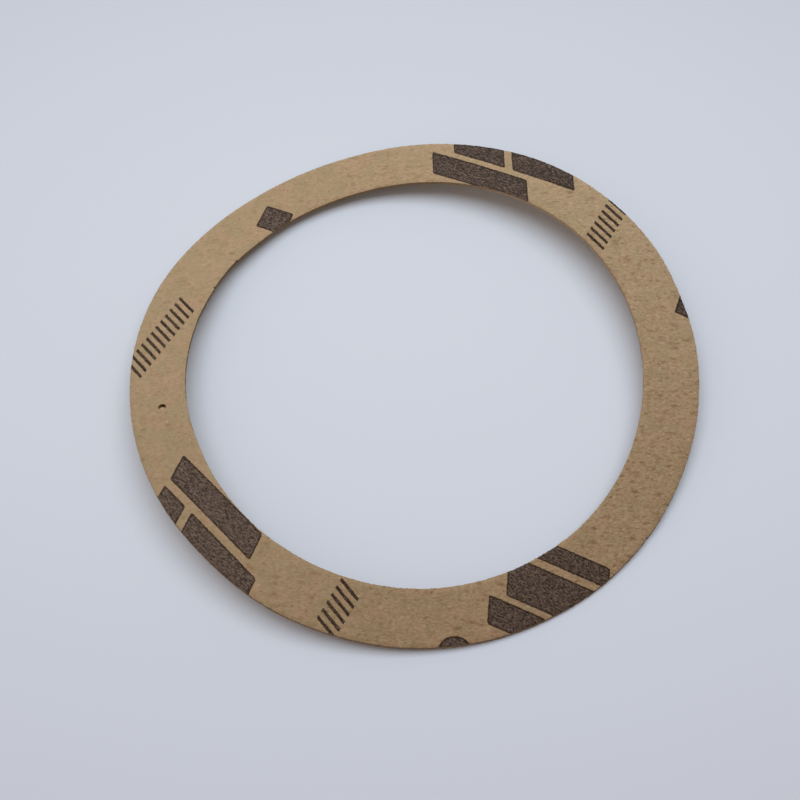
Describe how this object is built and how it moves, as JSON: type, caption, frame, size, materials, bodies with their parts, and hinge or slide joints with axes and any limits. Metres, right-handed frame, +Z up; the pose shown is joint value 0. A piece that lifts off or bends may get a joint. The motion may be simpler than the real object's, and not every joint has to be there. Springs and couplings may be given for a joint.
{
  "type": "paper shim",
  "caption": "Flat-cut ring of brown gasket paper with a slight curl, clamped between two faces round a shaft or spigot to set a gap or seal a joint.",
  "frame": {"origin": "on the ring's axis, at the level of the surface it lies on", "axes": "+Z up along the ring's axis, X along the crest of the curl, Y across it"},
  "size_m": [0.1, 0.1, 0.0072],
  "materials": {
    "gasket_paper": "matt brown kraft gasket paper with fine fibres and flecks, dark brown printed marks, plain cut edges"
  },
  "bodies": {
    "root": {"paper_shim": "gasket_paper"}
  },
  "joints": []
}
